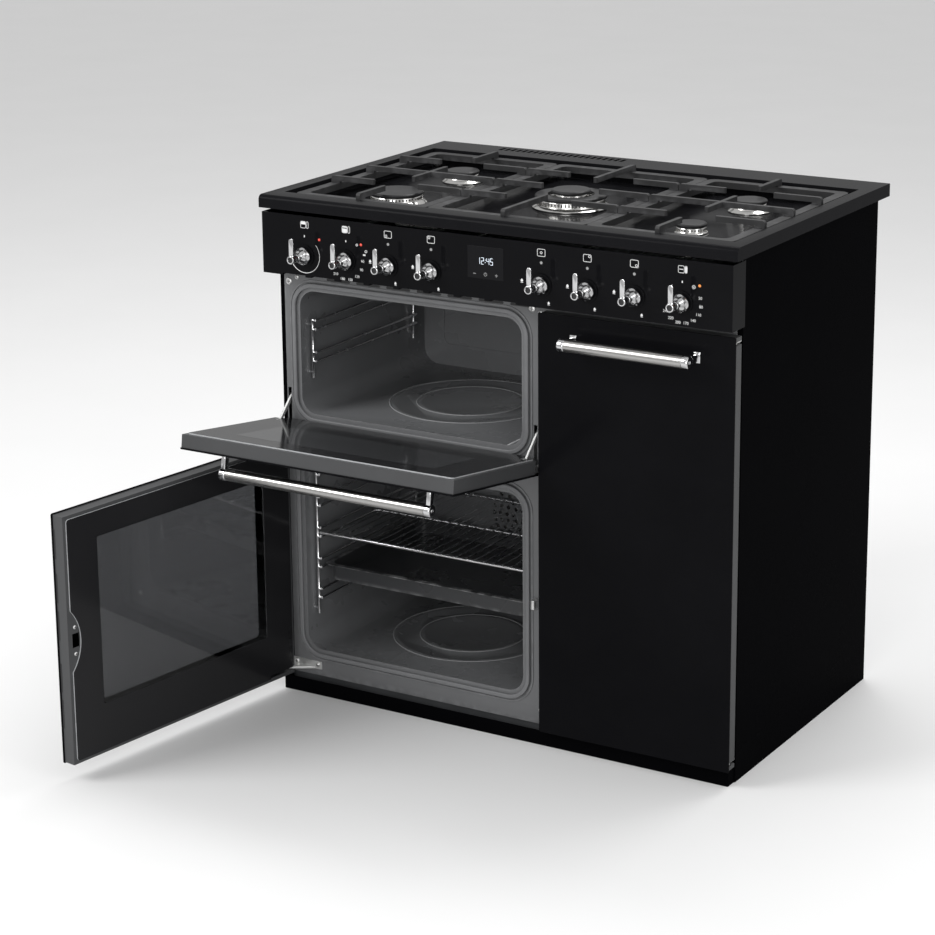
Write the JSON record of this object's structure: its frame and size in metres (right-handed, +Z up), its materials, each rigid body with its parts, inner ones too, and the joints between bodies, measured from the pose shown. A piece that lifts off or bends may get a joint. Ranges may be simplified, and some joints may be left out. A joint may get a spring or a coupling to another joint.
{
  "type": "range cooker with gas hob and double oven",
  "caption": "Free-standing 90 cm range cooker, black enamel: gas hob with cast-iron pan supports, lever knobs, clock, double oven on the left and a tall oven on the right.",
  "frame": {"origin": "on the floor, at the centre of the cabinet's footprint (side panels and back panel, without hob, doors or plinth)", "axes": "+X to the right seen from the front, +Y to the back, +Z up from the floor; the front faces -Y"},
  "size_m": [1.0068, 1.1001, 0.908],
  "materials": {
    "gloss_enamel": "high-gloss black enamel",
    "cavity_enamel": "speckled dark grey enamel",
    "grey_enamel": "satin mid-grey enamel",
    "galvanised": "bare galvanised sheet",
    "cast_iron": "matt black",
    "steel": "brushed",
    "chrome": "polished",
    "alloy": "cast and machined",
    "brass": "machined",
    "rubber": "matt",
    "black_glass": "tinted black",
    "clear_glass": "clear",
    "control_plastic": "moulded"
  },
  "bodies": {
    "cabinet": {"base_frame": "grey_enamel", "plinth": "gloss_enamel", "side_panel_left": "gloss_enamel", "side_panel_right": "gloss_enamel", "back_panel": "galvanised", "front_frame": "grey_enamel", "hob_top": "gloss_enamel", "control_panel": "gloss_enamel", "display_glass": "black_glass", "upper_cavity": "cavity_enamel", "lower_cavity": "cavity_enamel", "right_cavity": "cavity_enamel", "door_gaskets": "rubber", "shelf_racks": "chrome", "fan_covers": "cavity_enamel", "fan_motors": "steel", "heating_elements": "steel", "oven_lamps": "clear_glass", "gas_manifold": "steel", "gas_taps": "alloy", "gas_tubes": "alloy", "oven_controls": "control_plastic", "burner_cups": "alloy", "burner_crowns": "alloy", "burner_caps": "cast_iron", "pan_support_left": "cast_iron", "pan_support_centre": "cast_iron", "pan_support_right": "cast_iron", "hinge_mounts": "chrome", "latch_keepers": "chrome"},
    "upper_door": {"upper_door_panel": "gloss_enamel", "upper_door_liner": "grey_enamel", "upper_door_glass": "black_glass", "upper_door_handle": "steel", "upper_door_stays": "chrome"},
    "lower_door": {"lower_door_panel": "gloss_enamel", "lower_door_liner": "grey_enamel", "lower_door_glass": "black_glass", "lower_door_handle": "steel"},
    "right_door": {"right_door_panel": "gloss_enamel", "right_door_liner": "grey_enamel", "right_door_handle": "steel"},
    "shelf": {"wire_shelf": "chrome"},
    "tray": {"baking_tray": "cavity_enamel"},
    "fan_in_lower_oven": {"lower_fan": "alloy"},
    "fan_in_right_oven": {"right_fan": "alloy"},
    "feet": {"levelling_feet": "control_plastic"},
    "control_upper_oven": {"knob_upper_oven": "chrome"},
    "control_lower_oven": {"knob_lower_oven": "chrome"},
    "control_right_oven": {"knob_right_oven": "chrome"},
    "control_front_left": {"knob_front_left": "chrome"},
    "control_rear_left": {"knob_rear_left": "chrome"},
    "control_centre": {"knob_centre": "chrome"},
    "control_rear_right": {"knob_rear_right": "chrome"},
    "control_front_right": {"knob_front_right": "chrome"},
    "sleeve_front_left": {"plunger_front_left": "brass"},
    "sleeve_rear_left": {"plunger_rear_left": "brass"},
    "sleeve_centre": {"plunger_centre": "brass"},
    "sleeve_rear_right": {"plunger_rear_right": "brass"},
    "sleeve_front_right": {"plunger_front_right": "brass"}
  },
  "joints": [
    {"name": "upper_door_hinge", "type": "hinge", "parent": "cabinet", "child": "upper_door", "pos_m": [-0.1785, -0.291, 0.4865], "axis": [-1, 0, 0], "range_deg": [-8, 82]},
    {"name": "lower_door_hinge", "type": "hinge", "parent": "cabinet", "child": "lower_door", "pos_m": [-0.435, -0.291, 0.245], "axis": [0, 0, 1], "range_deg": [-4, 98]},
    {"name": "right_door_hinge", "type": "hinge", "parent": "cabinet", "child": "right_door", "pos_m": [0.435, -0.291, 0.393], "axis": [0, 0, 1], "range_deg": [0, 105]},
    {"name": "shelf_slide", "type": "slide", "parent": "cabinet", "child": "shelf", "axis": [0, 1, 0], "range_m": [-0.3, 0]},
    {"name": "tray_slide", "type": "slide", "parent": "cabinet", "child": "tray", "axis": [0, 1, 0], "range_m": [-0.3, 0]},
    {"name": "lower_fan_spin", "type": "hinge", "parent": "cabinet", "child": "fan_in_lower_oven", "pos_m": [-0.1785, 0.12, 0.254], "axis": [0, 1, 0], "continuous": true},
    {"name": "right_fan_spin", "type": "hinge", "parent": "cabinet", "child": "fan_in_right_oven", "pos_m": [0.2685, 0.12, 0.4045], "axis": [0, 1, 0], "continuous": true},
    {"name": "feet_height", "type": "slide", "parent": "cabinet", "child": "feet", "axis": [0, 0, -1], "range_m": [0, 0.02]},
    {"name": "turn_upper_oven", "type": "hinge", "parent": "cabinet", "child": "control_upper_oven", "pos_m": [-0.356, -0.3, 0.804], "axis": [0, 1, 0], "range_deg": [0, 270]},
    {"name": "turn_lower_oven", "type": "hinge", "parent": "cabinet", "child": "control_lower_oven", "pos_m": [-0.272, -0.3, 0.804], "axis": [0, 1, 0], "range_deg": [0, 270]},
    {"name": "turn_right_oven", "type": "hinge", "parent": "cabinet", "child": "control_right_oven", "pos_m": [0.356, -0.3, 0.804], "axis": [0, 1, 0], "range_deg": [0, 270]},
    {"name": "push_front_left", "type": "slide", "parent": "cabinet", "child": "sleeve_front_left", "axis": [0, 1, 0], "range_m": [0, 0.004], "stiffness_N_per_m": 600, "springref_m": -0.002},
    {"name": "turn_front_left", "type": "hinge", "parent": "sleeve_front_left", "child": "control_front_left", "pos_m": [-0.188, -0.3, 0.804], "axis": [0, -1, 0], "range_deg": [0, 240]},
    {"name": "push_rear_left", "type": "slide", "parent": "cabinet", "child": "sleeve_rear_left", "axis": [0, 1, 0], "range_m": [0, 0.004], "stiffness_N_per_m": 600, "springref_m": -0.002},
    {"name": "turn_rear_left", "type": "hinge", "parent": "sleeve_rear_left", "child": "control_rear_left", "pos_m": [-0.104, -0.3, 0.804], "axis": [0, -1, 0], "range_deg": [0, 240]},
    {"name": "push_centre", "type": "slide", "parent": "cabinet", "child": "sleeve_centre", "axis": [0, 1, 0], "range_m": [0, 0.004], "stiffness_N_per_m": 600, "springref_m": -0.002},
    {"name": "turn_centre", "type": "hinge", "parent": "sleeve_centre", "child": "control_centre", "pos_m": [0.104, -0.3, 0.804], "axis": [0, -1, 0], "range_deg": [0, 240]},
    {"name": "push_rear_right", "type": "slide", "parent": "cabinet", "child": "sleeve_rear_right", "axis": [0, 1, 0], "range_m": [0, 0.004], "stiffness_N_per_m": 600, "springref_m": -0.002},
    {"name": "turn_rear_right", "type": "hinge", "parent": "sleeve_rear_right", "child": "control_rear_right", "pos_m": [0.188, -0.3, 0.804], "axis": [0, -1, 0], "range_deg": [0, 240]},
    {"name": "push_front_right", "type": "slide", "parent": "cabinet", "child": "sleeve_front_right", "axis": [0, 1, 0], "range_m": [0, 0.004], "stiffness_N_per_m": 600, "springref_m": -0.002},
    {"name": "turn_front_right", "type": "hinge", "parent": "sleeve_front_right", "child": "control_front_right", "pos_m": [0.272, -0.3, 0.804], "axis": [0, -1, 0], "range_deg": [0, 240]}
  ]
}
